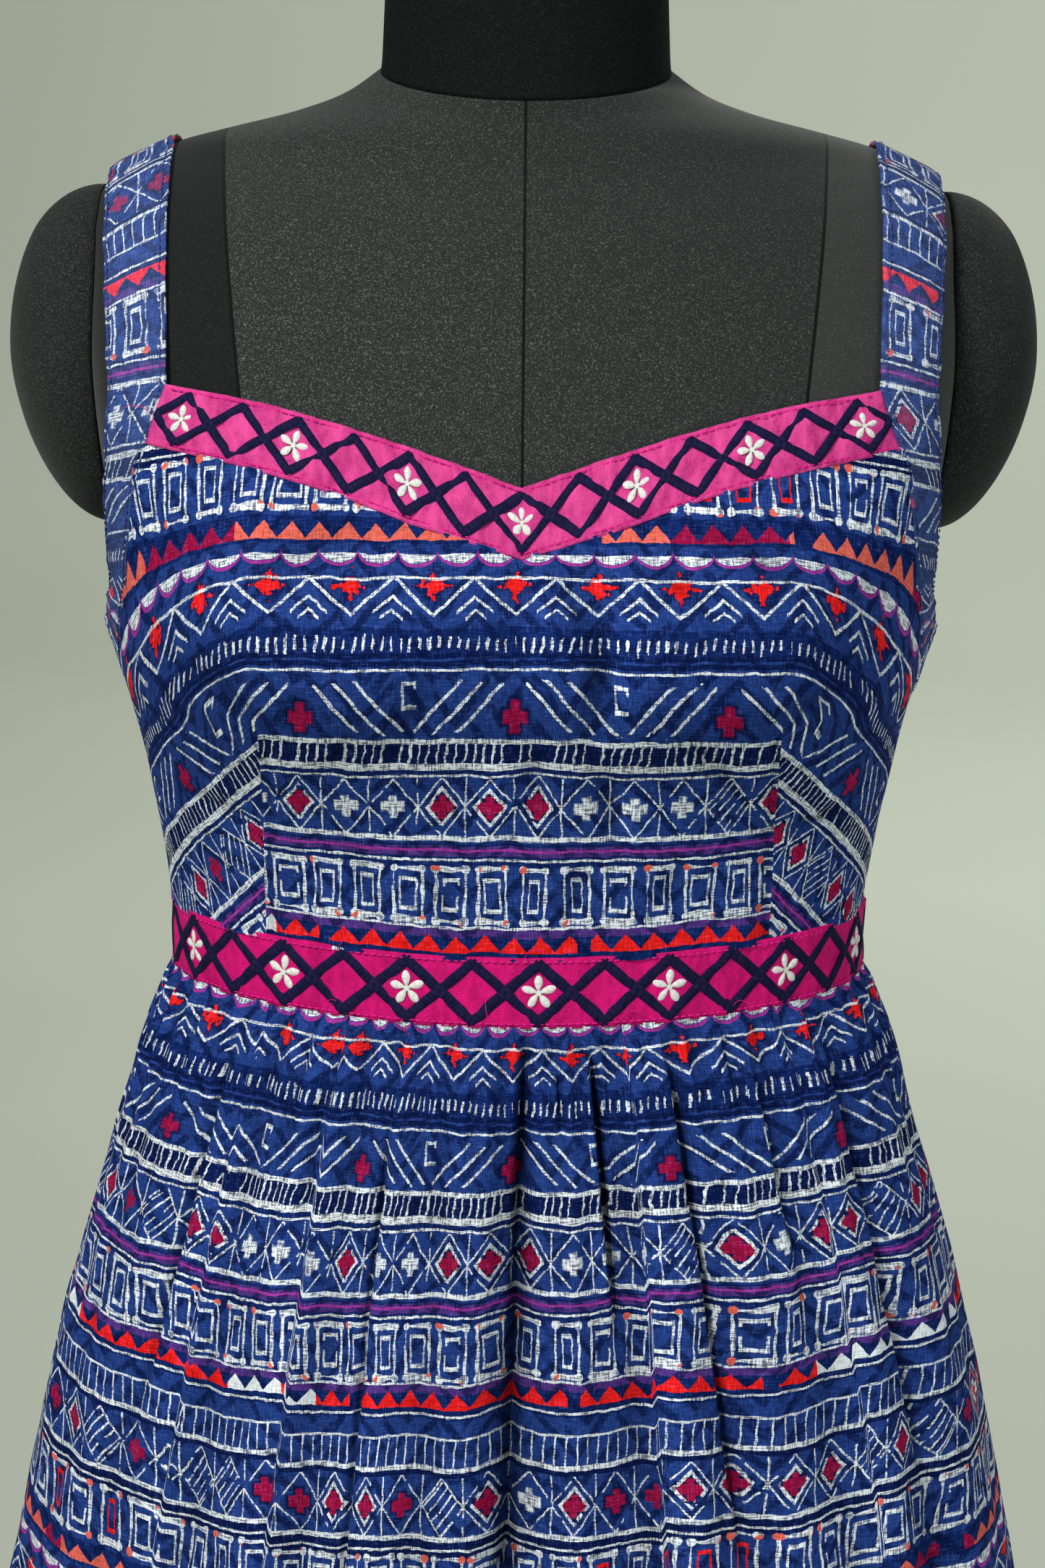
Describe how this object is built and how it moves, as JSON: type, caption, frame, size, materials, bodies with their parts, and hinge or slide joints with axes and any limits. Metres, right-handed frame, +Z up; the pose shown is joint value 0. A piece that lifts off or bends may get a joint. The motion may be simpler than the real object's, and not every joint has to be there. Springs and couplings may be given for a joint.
{
  "type": "strappy dress on dress form",
  "caption": "Strappy fit-and-flare dress with V neckline band, waistband and gathered skirt, worn by a limbless dress form on a round-based stand",
  "frame": {"origin": "centre of the bounding box on the floor, under the stand's base", "axes": "+Z up, the front of the dress faces -Y, +X is the viewer's right"},
  "size_m": [0.5726, 0.5074, 1.476],
  "materials": {
    "printed_cotton": "plain-woven slubby cotton, blue ground with white, crimson, coral and purple bands",
    "band_cotton": "fine plain-woven pink cotton with navy and white satin stitch",
    "form_knit": "matte charcoal knit stretched over the form",
    "stand_metal": "satin black powder coat"
  },
  "bodies": {
    "root": {"bodice_front": "printed_cotton", "bodice_back": "printed_cotton", "strap_left": "printed_cotton", "strap_right": "printed_cotton", "skirt_front": "printed_cotton", "skirt_back": "printed_cotton", "neck_band": "band_cotton", "waistband_front": "band_cotton", "waistband_back": "band_cotton", "form_torso": "form_knit", "form_neck": "form_knit", "form_cap_left": "form_knit", "form_cap_right": "form_knit", "stand_pole": "stand_metal", "stand_base": "stand_metal"}
  },
  "joints": []
}
